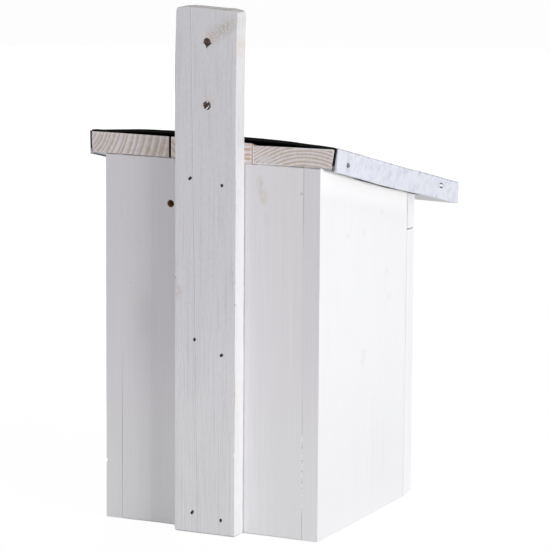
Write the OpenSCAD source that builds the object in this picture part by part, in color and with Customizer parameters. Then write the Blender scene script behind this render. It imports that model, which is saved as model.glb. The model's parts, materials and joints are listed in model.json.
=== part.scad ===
// Nest box with a pent roof, a mounting batten up its back and a top-hung front door.
// Millimetres, +Z up. The front faces -Y and the batten's mounting face looks along +Y.
// The origin is at the middle of the overall length and width, on the level the box stands on.
// Left and right are as seen from the front: left is -X.

/* [Box] */
// Outer width across the side panels
box_w = 170; // [140:1:220]
// Depth of the side panels, from the back to the seam with the front
side_d = 155; // [130:1:200]
// Height of the box at its back, under the roof boards
back_h = 268; // [240:1:330]
// Thickness of the wall boards
wall_t = 13; // [10:0.5:18]
// Thickness of the floor board
floor_t = 13; // [9:0.5:18]
// Legs of the drain openings at the floor's corners
drain_leg = 11; // [8:0.5:16]
// Fall of the roof towards the front, in degrees
roof_slope = 13.2; // [8:0.1:16]

/* [Front] */
// Height of the front header at its face, down to the middle of its seam with the door
header_h = 25.2; // [22:0.1:40]
// Gap between the header and the door
seam_gap = 1; // [0.5:0.1:2]
// Gap between the side panels and the header and door in front of them
front_gap = 0.7; // [0.3:0.1:1.5]
// Clearance between the door's bottom edge and the ground
door_lift = 1.6; // [1:0.1:6]
// Diameter of the entrance
entrance_d = 32; // [26:1:45]
// Depth of the entrance's centre below the seam
entrance_drop = 42; // [36:1:60]

/* [Batten] */
// Width of the mounting batten
batten_w = 48; // [40:1:60]
// Thickness of the mounting batten
batten_t = 14; // [10:0.5:20]
// Rise of the batten's top end above the roof boards
batten_rise = 95.6; // [80:0.1:160]
// Sideways offset of the batten from the box's middle
batten_shift = -2; // [-8:0.5:8]
// Diameter of the two hanging holes
hang_hole_d = 6.4; // [4:0.2:9]
// Sideways offset of the hanging holes from the batten's middle line
hang_hole_shift = -1; // [-5:0.5:5]
// Depth of the upper hanging hole below the batten's top
hang_hole_drop = 24.5; // [18:0.5:30]
// Distance between the two hanging holes
hang_hole_pitch = 44.5; // [30:0.5:50]
// Diameter of the vent hole through the back panel
vent_d = 5.4; // [3:0.2:9]

/* [Roof] */
// Level distance that the roof boards cover, from back to front
roof_d = 224.5; // [215:0.5:280]
// Overhang of the roof boards beyond each side panel
roof_side = 10; // [6:0.5:20]
// Width of the middle roof board
roof_mid_w = 64; // [50:0.5:80]
// Sideways offset of the middle roof board
roof_mid_shift = 0.4; // [-5:0.1:5]
// Thickness of the roof boards
roof_t = 14.5; // [10:0.5:20]
// Gap between the left and the middle roof board
joint_left = 0.3; // [0.2:0.1:2]
// Gap between the middle and the right roof board
joint_right = 1.5; // [0.2:0.1:3]
// How far the roof's side edges lean in at their bottom
edge_lean = 1.6; // [0:0.1:3]
// Thickness of the roofing felt
felt_t = 1.5; // [1:0.1:3]
// Rise of the felt off the boards at the middle
felt_rise = 3; // [1:0.1:6]
// Height of the felt's side flaps
flap_h = 14; // [8:0.5:15.5]
// Thickness of the metal edge strips
strip_t = 0.5; // [0.4:0.1:1.5]
// Height of the edge strips at the back
strip_back_h = 17.5; // [14:0.5:20]
// Height of the edge strips at the front
strip_front_h = 15.5; // [13:0.5:20]

/* [Fasteners] */
// Distance of each hinge's middle from the door's side edge
hinge_inset = 33; // [20:1:36]
// Length of a hinge along its pin
hinge_w = 26; // [20:1:32]
// Height of each hinge leaf above or below the pin
leaf_h = 15; // [12:0.5:18]
// Thickness of a hinge leaf
leaf_t = 1; // [0.8:0.1:1.4]
// Diameter of a hinge knuckle
knuckle_d = 3.4; // [3:0.1:5]
// Diameter of a hinge pin
pin_d = 1.8; // [1.4:0.1:2.2]
// Diameter of a hinge screw's shank
screw_d = 2.4; // [2:0.1:3]
// Diameter of a hinge screw's head
screw_head_d = 4.4; // [3.5:0.1:5]
// Diameter of the nails that hold the wood together
nail_d = 2; // [1.6:0.1:3]
// Depth to which the batten's nails are sunk
nail_sink = 1.2; // [0.5:0.1:3]
// Depth to which the batten's nails reach into the back panel
batten_nail_hold = 8; // [5:0.5:9]
// Depth to which the header's nails reach into the side panels
header_nail_hold = 16; // [10:1:30]
// Length of a strip nail's shank in the roof boards
clout_hold = 13; // [8:0.5:25]
// Diameter of a strip nail's head
clout_head_d = 4.2; // [3:0.1:6]

/* [Hidden] */
$fn = 48;

// Clearance round each nail, screw and pin, and between thin layers.
fit = 0.05;
layer_gap = 0.1;
cut = 1; // how far a cutting solid runs past the face it cuts

// Levels and planes that the pieces share.
back_y = (roof_d - batten_t) / 2; // back of the box, where the batten lies against it
roof_front_y = back_y - roof_d;
slope_run = roof_d / cos(roof_slope); // length of the roof along its fall
wall_y = back_y + batten_t; // mounting face of the batten
seat_y = back_y - side_d; // front edges of the side panels
front_y = seat_y - front_gap; // inner face of the header and the door
face_y = front_y - wall_t; // their outer face
inner_w = box_w - 2 * wall_t;
batten_h = back_h + roof_t / cos(roof_slope) + batten_rise;
seam_z = roof_z(face_y) - header_h;
header_bottom = seam_z + seam_gap / 2;
door_top = seam_z - seam_gap / 2;
entrance_z = seam_z - entrance_drop;
vent_x = 32.6; // the vent hole stands beside the batten, high on the back panel
vent_drop = 32.6;

// The roof's boards lie side by side from back to front.
roof_w = box_w + 2 * roof_side;
roof_mid_x = [roof_mid_shift - roof_mid_w / 2, roof_mid_shift + roof_mid_w / 2];
slope_l = slope_run + 2 * roof_t; // runs past both plumb ends
roof_edge = [edge_x(0, 0), edge_x(roof_t, 0)]; // outer edge of a board: bottom, top
felt_half_w = roof_w / 2 + layer_gap; // where the felt turns down over the edge
felt_steps = 24;
strip_rise = 1; // top edge of the strips above the roof boards, at the back
strip_dip = 1; // how much lower that edge lies at the front
strip_out = felt_t + 2 * layer_gap; // inner face of a strip from the boards' edge

// Nails and screws. Pairs of nails through the batten are given from its middle line,
// and from the top, the middle or the bottom of the back panel.
batten_nails_top = [[12, -11], [-13, -14.5]];
batten_nails_mid = [[8.5, 7.5], [-13, -2]];
batten_nails_low = [[10, 15], [-13, 11.5]];
header_nail_head_d = 3;
header_nail_head_t = 0.6;
header_nail_rises = [7, 17]; // above the header's bottom edge
clout_d = 1.6;
clout_head_t = 0.8;
clout_back = [20.6, 5.7]; // down the slope from its back end, and above the boards' underside
clout_front = [36.3, 8.7]; // up the slope from its front end, and above the boards' underside
screw_head_t = 0.9;
screw_hold = 9; // length in the wood
screw_x = 7.5; // from the hinge's middle
screw_drop = 9.5; // from the hinge's pin
hinge_x = box_w / 2 - hinge_inset;

// Hinge pin: its axis lies just off the face, level with the seam.
pin_y = face_y - knuckle_d / 2 - layer_gap;
knuckle_gap = 0.3; // between neighbouring knuckles
leaf_clear = 0.3; // between a leaf and the other leaf's knuckles
knuckle_w = hinge_w / 3;

LEFT = -1;
RIGHT = 1;

// Height of the roof boards' underside at a distance along Y.
function roof_z(y) = back_h - (back_y - y) * tan(roof_slope);

// Half width of the roof at height z over the boards' underside, and out beyond their edge.
function edge_x(z, out) = roof_w / 2 + out - edge_lean * (1 - z / roof_t);

// A board with an outline in the YZ plane and its width along X from x0.
module board_yz(x0, width, outline) {
  translate([x0, 0, 0])
    rotate([90, 0, 90])
      linear_extrude(width)
        polygon(outline);
}

// A round bar or bore of diameter d along +Y, from y0 for length l.
module bar_y(d, x, y0, z, l) {
  translate([x, y0, z])
    rotate([-90, 0, 0])
      cylinder(d = d, h = l);
}

// The same along +X.
module bar_x(d, x0, y, z, l) {
  translate([x0, y, z])
    rotate([0, 90, 0])
      cylinder(d = d, h = l);
}

// ---- Walls and floor ----

module side_panel(side) {
  x0 = side == LEFT ? -box_w / 2 : box_w / 2 - wall_t;
  color("whitesmoke")
    difference() {
      board_yz(x0, wall_t, [
        [seat_y, 0], [back_y, 0], [back_y, roof_z(back_y)], [seat_y, roof_z(seat_y)]
      ]);
      header_nail_set(side, fit, cut);
    }
}

module back_panel() {
  front = back_y - wall_t;
  color("gainsboro")
    difference() {
      board_yz(-inner_w / 2, inner_w, [
        [front, 0], [back_y, 0], [back_y, roof_z(back_y)], [front, roof_z(front)]
      ]);
      bar_y(vent_d, vent_x, front - cut, back_h - vent_drop, wall_t + 2 * cut);
      batten_nail_set(fit, 0);
    }
}

// The floor lies between the walls, level with their bottom edges.
// Its cut corners leave four drain openings.
module floor_panel() {
  x = inner_w / 2;
  y0 = seat_y;
  y1 = back_y - wall_t;
  k = drain_leg;
  color("burlywood")
    linear_extrude(floor_t)
      polygon([
        [-x + k, y0], [x - k, y0], [x, y0 + k], [x, y1 - k],
        [x - k, y1], [-x + k, y1], [-x, y1 - k], [-x, y0 + k]
      ]);
}

module front_header() {
  color("whitesmoke")
    difference() {
      board_yz(-box_w / 2, box_w, [
        [face_y, header_bottom], [front_y, header_bottom],
        [front_y, roof_z(front_y)], [face_y, roof_z(face_y)]
      ]);
      for (side = [LEFT, RIGHT]) {
        header_nail_set(side, fit, cut);
        screw_shanks(side * hinge_x, 1, fit);
      }
    }
}

module front_door() {
  color("whitesmoke")
    difference() {
      translate([-box_w / 2, face_y, door_lift])
        cube([box_w, wall_t, door_top - door_lift]);
      bar_y(entrance_d, 0, face_y - cut, entrance_z, wall_t + 2 * cut);
      for (side = [LEFT, RIGHT])
        screw_shanks(side * hinge_x, -1, fit);
    }
}

// ---- Batten ----

module mounting_batten() {
  color("lightgray")
    difference() {
      translate([batten_shift - batten_w / 2, back_y, 0])
        cube([batten_w, batten_t, batten_h]);
      for (drop = [hang_hole_drop, hang_hole_drop + hang_hole_pitch])
        bar_y(hang_hole_d, batten_shift + hang_hole_shift, back_y - cut, batten_h - drop,
              batten_t + 2 * cut);
      batten_nail_set(fit, nail_sink + cut);
    }
}

// Nails from the batten into the back panel; what cuts their holes runs on behind.
module batten_nail_set(clearance, behind) {
  places = concat(
    [for (n = batten_nails_top) [n[0], back_h + n[1]]],
    [for (n = batten_nails_mid) [n[0], back_h / 2 + n[1]]],
    batten_nails_low
  );
  for (place = places)
    bar_y(nail_d + 2 * clearance, batten_shift + place[0], back_y - batten_nail_hold, place[1],
          batten_nail_hold + batten_t - nail_sink + behind);
}

module batten_nails() {
  color("dimgray") batten_nail_set(0, 0);
}

// ---- Header nails ----

// The nails of one side; what cuts their holes starts in front of the header's face.
module header_nail_set(side, clearance, ahead) {
  for (rise = header_nail_rises) {
    x = side * (box_w - wall_t) / 2;
    z = header_bottom + rise;
    bar_y(nail_d + 2 * clearance, x, face_y - ahead, z, seat_y + header_nail_hold - face_y + ahead);
    bar_y(header_nail_head_d + 2 * clearance, x, face_y - ahead, z, header_nail_head_t + ahead);
  }
}

module header_nails() {
  color("silver")
    for (side = [LEFT, RIGHT])
      header_nail_set(side, 0, 0);
}

// ---- Roof ----

// Places its children on the slope: x across, -y down the fall, z square to the boards.
module on_slope() {
  translate([0, back_y, back_h])
    rotate([roof_slope, 0, 0])
      children();
}

// Cuts its children plumb at the back and at the front of the roof.
module plumb_ends() {
  intersection() {
    children();
    translate([-roof_w, roof_front_y, 0])
      cube([2 * roof_w, roof_d, 2 * batten_h]);
  }
}

// Runs an outline across the slope down the whole roof.
module down_slope(outline) {
  translate([0, roof_t, 0])
    rotate([90, 0, 0])
      linear_extrude(slope_l)
        polygon(outline);
}

// An edge of a roof board is given as its x at the bottom and at the top; this one is upright.
function upright(x) = [x, x];

module roof_board(from, to) {
  color("tan")
    difference() {
      plumb_ends()
        on_slope()
          down_slope([[from[0], 0], [to[0], 0], [to[1], roof_t], [from[1], roof_t]]);
      for (side = [LEFT, RIGHT])
        clout_shanks(side, clout_d + 2 * fit);
    }
}

module roof_board_left() {
  roof_board(-roof_edge, upright(roof_mid_x[0] - joint_left));
}

module roof_board_middle() {
  roof_board(upright(roof_mid_x[0]), upright(roof_mid_x[1]));
}

module roof_board_right() {
  roof_board(upright(roof_mid_x[1] + joint_right), roof_edge);
}

// Height of the felt's underside over the boards, at a distance x from the middle.
function felt_z(x) = roof_t + layer_gap + felt_rise * (1 - pow(x / felt_half_w, 2));

function felt_outline() =
  let (
    steps = [for (i = [0 : felt_steps]) 2 * i / felt_steps - 1],
    under = [for (s = steps) [s * felt_half_w, felt_z(s * felt_half_w)]],
    over = [for (s = steps) [-s * (felt_half_w + felt_t), felt_z(s * felt_half_w) + felt_t]],
    low = roof_t + felt_t - flap_h,
    low_in = edge_x(low, layer_gap),
    low_out = edge_x(low, layer_gap + felt_t)
  )
  concat([[-low_in, low]], under, [[low_in, low], [low_out, low]], over, [[-low_out, low]]);

module roof_felt() {
  color("darkslategray")
    difference() {
      plumb_ends()
        on_slope()
          down_slope(felt_outline());
      for (side = [LEFT, RIGHT])
        clout_shanks(side, clout_d + 2 * fit);
    }
}

// A strip covers one side edge of the roof. It narrows a little towards the front.
module edge_strip(side) {
  low = -roof_t;
  high = 2 * roof_t;
  top = [roof_t + strip_rise, roof_t + strip_rise - strip_dip];
  bottom = [top[0] - strip_back_h, top[1] - strip_front_h];
  function at(ends, y) = ends[0] - (ends[1] - ends[0]) * y / slope_run;
  past = [roof_t, -slope_run - roof_t];
  color("lightsteelblue")
    difference() {
      plumb_ends()
        on_slope()
          intersection() {
            down_slope([
              [side * edge_x(low, strip_out), low],
              [side * edge_x(low, strip_out + strip_t), low],
              [side * edge_x(high, strip_out + strip_t), high],
              [side * edge_x(high, strip_out), high]
            ]);
            board_yz(-roof_w, 2 * roof_w, [
              [past[0], at(bottom, past[0])], [past[0], at(top, past[0])],
              [past[1], at(top, past[1])], [past[1], at(bottom, past[1])]
            ]);
          }
      clout_shanks(side, clout_d + 2 * fit);
    }
}

// Places its children at each nail of a strip, with z along the nail, outwards.
module at_clouts(side) {
  on_slope()
    for (place = [[-clout_back[0], clout_back[1]], [clout_front[0] - slope_run, clout_front[1]]])
      translate([side * edge_x(place[1], strip_out + strip_t), place[0], place[1]])
        rotate([0, side * (90 + atan(edge_lean / roof_t)), 0])
          children();
}

module clout_shanks(side, d) {
  l = clout_hold + strip_out + strip_t;
  at_clouts(side)
    translate([0, 0, -l])
      cylinder(d = d, h = l + clout_head_t / 2);
}

module strip_nails(side) {
  color("gray")
    union() {
      clout_shanks(side, clout_d);
      at_clouts(side) cylinder(d = clout_head_d, h = clout_head_t);
    }
}

// ---- Hinges: up is 1 for the fixed leaf on the header and -1 for the leaf on the door ----

// The shanks of a leaf's screws; what cuts their holes in the leaf starts in front of it.
module screw_shanks(x, up, clearance, ahead = 0) {
  for (dx = [-screw_x, screw_x])
    bar_y(screw_d + 2 * clearance, x + dx, face_y - leaf_t - ahead, seam_z + up * screw_drop,
          leaf_t + screw_hold + ahead);
}

module hinge_screws(x, up) {
  color("silver")
    union() {
      screw_shanks(x, up, 0);
      for (dx = [-screw_x, screw_x])
        bar_y(screw_head_d, x + dx, face_y - leaf_t - screw_head_t, seam_z + up * screw_drop,
              screw_head_t);
    }
}

// One knuckle with the arm that joins it to its leaf, from x0 for length l.
module knuckle(x0, up, l) {
  reach = knuckle_d / 2 + leaf_clear + leaf_t;
  bar_x(knuckle_d, x0, pin_y, seam_z, l);
  translate([x0, face_y - leaf_t, up > 0 ? seam_z : seam_z - reach])
    cube([l, leaf_t, reach]);
}

module hinge_leaf(x, up) {
  near = knuckle_d / 2 + leaf_clear;
  color("silver")
    difference() {
      union() {
        translate([x - hinge_w / 2, face_y - leaf_t, up > 0 ? seam_z + near : seam_z - leaf_h])
          cube([hinge_w, leaf_t, leaf_h - near]);
        if (up > 0)
          for (x0 = [x - hinge_w / 2, x + hinge_w / 2 - knuckle_w])
            knuckle(x0, up, knuckle_w);
        else
          knuckle(x - knuckle_w / 2 + knuckle_gap, up, knuckle_w - 2 * knuckle_gap);
      }
      bar_x(pin_d + 2 * fit, x - hinge_w, pin_y, seam_z, 2 * hinge_w);
      screw_shanks(x, up, fit, cut);
    }
}

module hinge_pin(x) {
  color("dimgray")
    bar_x(pin_d, x - hinge_w / 2, pin_y, seam_z, hinge_w);
}

// ---- Assembly ----

back_panel();
side_panel(LEFT);  // side_panel_left
side_panel(RIGHT);  // side_panel_right
floor_panel();
front_header();
header_nails();
mounting_batten();
batten_nails();
roof_board_left();
roof_board_middle();
roof_board_right();
roof_felt();
edge_strip(LEFT);  // edge_strip_left
edge_strip(RIGHT);  // edge_strip_right
strip_nails(LEFT);  // strip_nails_left
strip_nails(RIGHT);  // strip_nails_right
hinge_leaf(-hinge_x, 1);  // hinge_left_fixed_leaf
hinge_pin(-hinge_x);  // hinge_left_pin
hinge_screws(-hinge_x, 1);  // hinge_left_fixed_screws
hinge_leaf(hinge_x, 1);  // hinge_right_fixed_leaf
hinge_pin(hinge_x);  // hinge_right_pin
hinge_screws(hinge_x, 1);  // hinge_right_fixed_screws
front_door();
hinge_leaf(-hinge_x, -1);  // hinge_left_door_leaf
hinge_screws(-hinge_x, -1);  // hinge_left_door_screws
hinge_leaf(hinge_x, -1);  // hinge_right_door_leaf
hinge_screws(hinge_x, -1);  // hinge_right_door_screws
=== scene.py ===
"""Looks of the nest box: painted boards, roofing felt, metal edge strips, hinges and nails."""
import json
import math
from contextlib import contextmanager

import bmesh
import bpy
from mathutils import Matrix, Vector


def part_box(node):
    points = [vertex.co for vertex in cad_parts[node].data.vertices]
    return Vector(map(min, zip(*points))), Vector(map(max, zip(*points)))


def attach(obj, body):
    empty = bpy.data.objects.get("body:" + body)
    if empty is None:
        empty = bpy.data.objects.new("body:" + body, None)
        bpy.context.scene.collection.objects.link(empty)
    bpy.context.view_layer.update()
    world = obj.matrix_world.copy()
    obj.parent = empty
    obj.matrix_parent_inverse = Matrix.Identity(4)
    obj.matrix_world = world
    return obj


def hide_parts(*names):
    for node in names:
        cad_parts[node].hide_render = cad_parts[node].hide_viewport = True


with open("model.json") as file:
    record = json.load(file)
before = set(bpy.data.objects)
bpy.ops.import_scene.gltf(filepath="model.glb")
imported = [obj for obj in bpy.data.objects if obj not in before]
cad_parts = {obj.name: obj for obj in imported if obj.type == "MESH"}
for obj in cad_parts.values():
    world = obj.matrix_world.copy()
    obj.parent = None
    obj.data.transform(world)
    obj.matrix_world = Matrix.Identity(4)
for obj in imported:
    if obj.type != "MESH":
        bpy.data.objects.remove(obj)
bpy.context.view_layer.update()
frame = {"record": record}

MM = 0.001
LEFT, RIGHT = -1, 1
WORD = {LEFT: "left", RIGHT: "right"}
TINY = 0.02 * MM


def mm(x, y, z):
    return Vector((x, y, z)) * MM


# ---- Camera ----

def set_camera():
    """Looks at the box from behind, a little from its left side and from above."""
    azimuth, elevation, roll = (math.radians(a) for a in (205.342, 10.026, 0.373))
    aim, distance = mm(-13.311, 27.25, 175.09), 2500.84 * MM
    outward = Vector((math.sin(azimuth) * math.cos(elevation),
                      -math.cos(azimuth) * math.cos(elevation), math.sin(elevation)))
    level_right = Vector((0, 0, 1)).cross(outward).normalized()
    right = level_right * math.cos(roll) + outward.cross(level_right) * math.sin(roll)
    camera = bpy.data.objects.new("camera", bpy.data.cameras.new("camera"))
    bpy.context.scene.collection.objects.link(camera)
    turn = Matrix((right, outward.cross(right), outward)).transposed().to_4x4()
    camera.matrix_world = Matrix.Translation(aim + outward * distance) @ turn
    camera.data.lens = 223.79
    camera.data.sensor_width = 36
    camera.data.clip_end = 40
    bpy.context.scene.camera = camera


set_camera()


# ---- Measures in metres, from the frame where it has them ----

ROOF_SLOPE = math.radians(13.2)
ROOF_T = 14.5 * MM  # thickness of the roof boards
FELT_T = 1.5 * MM
STRIP_T = 0.5 * MM
STRIP_TOP = (15.5 * MM, 14.5 * MM)  # over the boards' underside, at the back and front
STRIP_FOOT = {LEFT: (-1.2 * MM, -1.3 * MM), RIGHT: (-0.7 * MM, -1 * MM)}
STRIP_LEAN = {LEFT: (0.9 * MM, 0.4 * MM), RIGHT: (0.5 * MM, 0.5 * MM)}
FLAP_LEAN = {LEFT: 2.4 * MM, RIGHT: 0.5 * MM}  # of the felt's flaps, over the boards' thickness
LAYER_GAP = 0.1 * MM
LEAF_T = 1 * MM

BACK_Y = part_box("back_panel")[1].y
BACK_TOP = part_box("back_panel")[1].z
ROOF_FRONT_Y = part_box("roof_board_middle")[0].y
ROOF_RUN = (BACK_Y - ROOF_FRONT_Y) / math.cos(ROOF_SLOPE)
ROOF_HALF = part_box("roof_board_right")[1].x
FACE_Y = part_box("front_door")[0].y
BATTEN_FACE_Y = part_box("mounting_batten")[1].y
BATTEN_X = (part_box("mounting_batten")[0].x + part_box("mounting_batten")[1].x) / 2

# The roof's own directions: across, down the fall as -y, and square to the boards.
ROOF_PLACE = Matrix.Translation((0, BACK_Y, BACK_TOP)) @ Matrix.Rotation(ROOF_SLOPE, 4, "X")

CLOUTS = ((20.6 * MM, 5.7 * MM), (ROOF_RUN - 36.3 * MM, 8.7 * MM))  # down the fall, and up
HANGING = next(m for m in frame["record"]["mounts"] if m["name"] == "hanging_holes")
HANG_HOLES = [
    Vector(HANGING["pos_m"]) + Vector((0, 0, side * HANGING["dims"]["spacing_y_mm"] * MM / 2))
    for side in (1, -1)
]
VENT = mm(32.6, 0, 235.4)
ENTRANCE_Z = 161.232 * MM

# ---- Measures in millimetres ----

ROOF_LEAN = {LEFT: 1.6, RIGHT: 0.5}  # how far the roof's edges lean in at the bottom
ROOF_DIP = 1  # how much thinner its boards are at the front
RIGHT_SWELL = 0.35  # how far the swollen right board pushes its flap and strip out
HANG_HOLE_R = HANGING["dims"]["hole_r_mm"]
VENT_R = 2.7
ENTRANCE_R = 16
BACK = BACK_Y / MM
LEFT_JOINT = -72  # where the back meets the left side
LEFT_FACE = -85
# Across from the batten's middle line, height, and how far the wood tore.
BATTEN_NAILS = (
    (12, 257, (-0.5, 0.35)), (-13, 253.5, (-0.15, 0.1)), (8.2, 141.3, (-0.1, 0.25)),
    (-13.2, 131.8, (-0.35, 0.25)), (9.8, 14.7, (-0.35, 0.55)), (-13.1, 11.3, (-0.05, 0.25)),
)


# ---- Modelling: points in metres, but radii, widths, pitches and shifts in millimetres ----

def make_active(piece):
    bpy.ops.object.select_all(action="DESELECT")
    piece.select_set(True)
    bpy.context.view_layer.objects.active = piece


@contextmanager
def editing(piece):
    make_active(piece)
    bpy.ops.object.mode_set(mode="EDIT")
    yield
    bpy.ops.object.mode_set(mode="OBJECT")


def middle_and_run(edge):
    a, b = (v.co for v in edge.verts)
    return (a + b) / 2, (b - a).normalized()


def pick(kind, test):
    """In edit mode, selects what passes the test: verts by their place, edges by their middle
    and direction, faces by their middle and normal."""
    bpy.ops.mesh.select_mode(type=kind)
    bpy.ops.mesh.select_all(action="DESELECT")
    mesh = bmesh.from_edit_mesh(bpy.context.object.data)
    if kind == "VERT":
        picked = [v for v in mesh.verts if test(v.co)]
    elif kind == "EDGE":
        picked = [e for e in mesh.edges if test(*middle_and_run(e))]
    else:
        picked = [f for f in mesh.faces if test(f.calc_center_median(), f.normal)]
    for part in picked:
        part.select_set(True)
    bmesh.update_edit_mesh(bpy.context.object.data)


def pick_all():
    bpy.ops.mesh.select_all(action="SELECT")


def push(shift, reach=None):
    """In edit mode, moves what is selected, and softly what lies within reach."""
    soft = {}
    if reach:
        soft = {"use_proportional_edit": True, "proportional_edit_falloff": "SMOOTH",
                "proportional_size": reach * MM}
    bpy.ops.transform.translate(value=[c * MM for c in shift], **soft)


def move(test, shift, reach=None):
    """In edit mode, pushes the verts that pass the test."""
    pick("VERT", test)
    push(shift, reach)


def roughen(offset, seed):
    """In edit mode, shifts every vert at random."""
    pick_all()
    bpy.ops.transform.vertex_random(offset=offset * MM, seed=seed)


def primitive(add, name, **settings):
    """Runs the operator that adds a primitive, and names what it adds."""
    bpy.ops.object.select_all(action="DESELECT")
    add(**settings)
    bpy.context.object.name = name
    return bpy.context.object


def set_in_place(piece):
    """Puts a primitive's place, turn and size into its mesh."""
    make_active(piece)
    bpy.ops.object.transform_apply(location=True, rotation=True, scale=True)
    return piece


def block(name, low, high):
    low, high = Vector(low), Vector(high)
    return set_in_place(primitive(
        bpy.ops.mesh.primitive_cube_add, name, size=1, location=(low + high) / 2,
        scale=high - low))


def bar(name, start, end, radius, sides=32):
    """A round bar between two points."""
    start, end = Vector(start), Vector(end)
    run = end - start
    return set_in_place(primitive(
        bpy.ops.mesh.primitive_cylinder_add, name, vertices=sides, radius=radius * MM,
        depth=run.length, location=(start + end) / 2,
        rotation=run.to_track_quat("Z", "Y").to_euler()))


def apply_modifier(piece, kind, **settings):
    make_active(piece)
    modifier = piece.modifiers.new(kind.title(), kind)
    for key, value in settings.items():
        setattr(modifier, key, value)
    bpy.ops.object.modifier_apply(modifier=modifier.name)


def carve(piece, *cutters, operation="DIFFERENCE"):
    """Cuts each cutter's shape out of a piece."""
    for cutter in cutters:
        apply_modifier(piece, "BOOLEAN", operation=operation, solver="EXACT", object=cutter)
        bpy.data.objects.remove(cutter)


def join(name, pieces):
    make_active(pieces[0])
    for piece in pieces[1:]:
        piece.select_set(True)
    bpy.ops.object.join()
    bpy.context.object.name = name
    return bpy.context.object


def trim(piece, point, normal):
    """Cuts away what lies beyond a plane and closes the cut."""
    with editing(piece):
        pick_all()
        bpy.ops.mesh.bisect(plane_co=point, plane_no=normal, use_fill=True, clear_outer=True)


def trim_to_roof(piece, back_gap=0):
    """Lays a piece on the roof, and cuts it off upright at the back and the front."""
    piece.matrix_world = ROOF_PLACE
    set_in_place(piece)
    trim(piece, (0, BACK_Y - back_gap * MM, 0), (0, 1, 0))
    trim(piece, (0, ROOF_FRONT_Y, 0), (0, -1, 0))


def divide(piece, **pitches):
    """Cuts a piece across x, y or z into rows of about the given pitch."""
    corners = [Vector(c) for c in piece.bound_box]
    with editing(piece):
        for axis, pitch in pitches.items():
            i = "xyz".index(axis)
            low, high = min(c[i] for c in corners), max(c[i] for c in corners)
            rows = max(1, round((high - low) / (pitch * MM)))
            for row in range(1, rows):
                point, normal = [0, 0, 0], [0, 0, 0]
                point[i], normal[i] = low + (high - low) * row / rows, 1
                pick_all()
                bpy.ops.mesh.bisect(plane_co=point, plane_no=normal)


def ease(piece, width, segments=2, spare=None):
    """Rounds every sharp edge a little, as sandpaper does, but for those that pass spare."""
    with editing(piece):
        bpy.ops.mesh.select_mode(type="EDGE")
        bpy.ops.mesh.select_all(action="DESELECT")
        bpy.ops.mesh.edges_select_sharp(sharpness=math.radians(40))
        if spare:
            for edge in bmesh.from_edit_mesh(piece.data).edges:
                if edge.select and spare(*middle_and_run(edge)):
                    edge.select_set(False)
            bmesh.update_edit_mesh(piece.data)
        bpy.ops.mesh.bevel(offset=width * MM, segments=segments, affect="EDGES")


def round_off(piece, width, test):
    """Rounds the edges that pass the test."""
    with editing(piece):
        pick("EDGE", test)
        bpy.ops.mesh.bevel(offset=width * MM, segments=4, affect="EDGES")


def make_uneven(piece, size, depth, direction="NORMAL", group=""):
    """Waves the surface by depth in all, in patches of about the given size."""
    texture = bpy.data.textures.new(piece.name + "_waves", "CLOUDS")
    texture.noise_scale = size * MM
    texture.noise_depth = 1
    apply_modifier(piece, "DISPLACE", texture=texture, strength=depth * MM, mid_level=0.5,
                   direction=direction, texture_coords="LOCAL", vertex_group=group)


def smooth(piece, angle=32):
    """Smooth shading that keeps sharp corners and leaves the flat faces flat."""
    make_active(piece)
    bpy.ops.object.shade_smooth_by_angle(angle=math.radians(angle))
    apply_modifier(piece, "WEIGHTED_NORMAL", keep_sharp=True, weight=100)


def weather(piece, size, depth, **pitches):
    """Divides a board finely enough to wave its faces, and smooths it."""
    divide(piece, **pitches)
    make_uneven(piece, size, depth)
    smooth(piece)


# ---- Finishes: colours are 0 to 255 screen values, lengths are millimetres ----

def linear(colour):
    """The shader's numbers for a colour in screen values."""
    parts = (c / 255 for c in colour)
    return *(c / 12.92 if c <= 0.04045 else ((c + 0.055) / 1.055) ** 2.4 for c in parts), 1


class Value:
    """A shader socket that Python's arithmetic works on."""

    def __init__(self, finish, socket):
        self.finish = finish
        self.socket = socket

    def sibling(self, name):
        """Another output of the same node."""
        return Value(self.finish, self.socket.node.outputs[name])

    def __abs__(self):
        return self.finish.maths("ABSOLUTE", self)

    def ramp(self, start, end):
        """Rises smoothly from 0 at start to 1 at end."""
        return self.finish.node("MapRange", {"interpolation_type": "SMOOTHSTEP"}, {
            "Value": self, "From Min": start, "From Max": end})

    def near(self, middle, reach):
        """1 where the value is at the middle, 0 beyond its reach."""
        return abs(self - middle).ramp(reach, 0)


for word, operation in (("add", "ADD"), ("sub", "SUBTRACT"), ("mul", "MULTIPLY"),
                        ("truediv", "DIVIDE")):
    setattr(Value, f"__{word}__", lambda a, b, op=operation: a.finish.maths(op, a, b))
    setattr(Value, f"__r{word}__", lambda a, b, op=operation: a.finish.maths(op, b, a))


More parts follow.
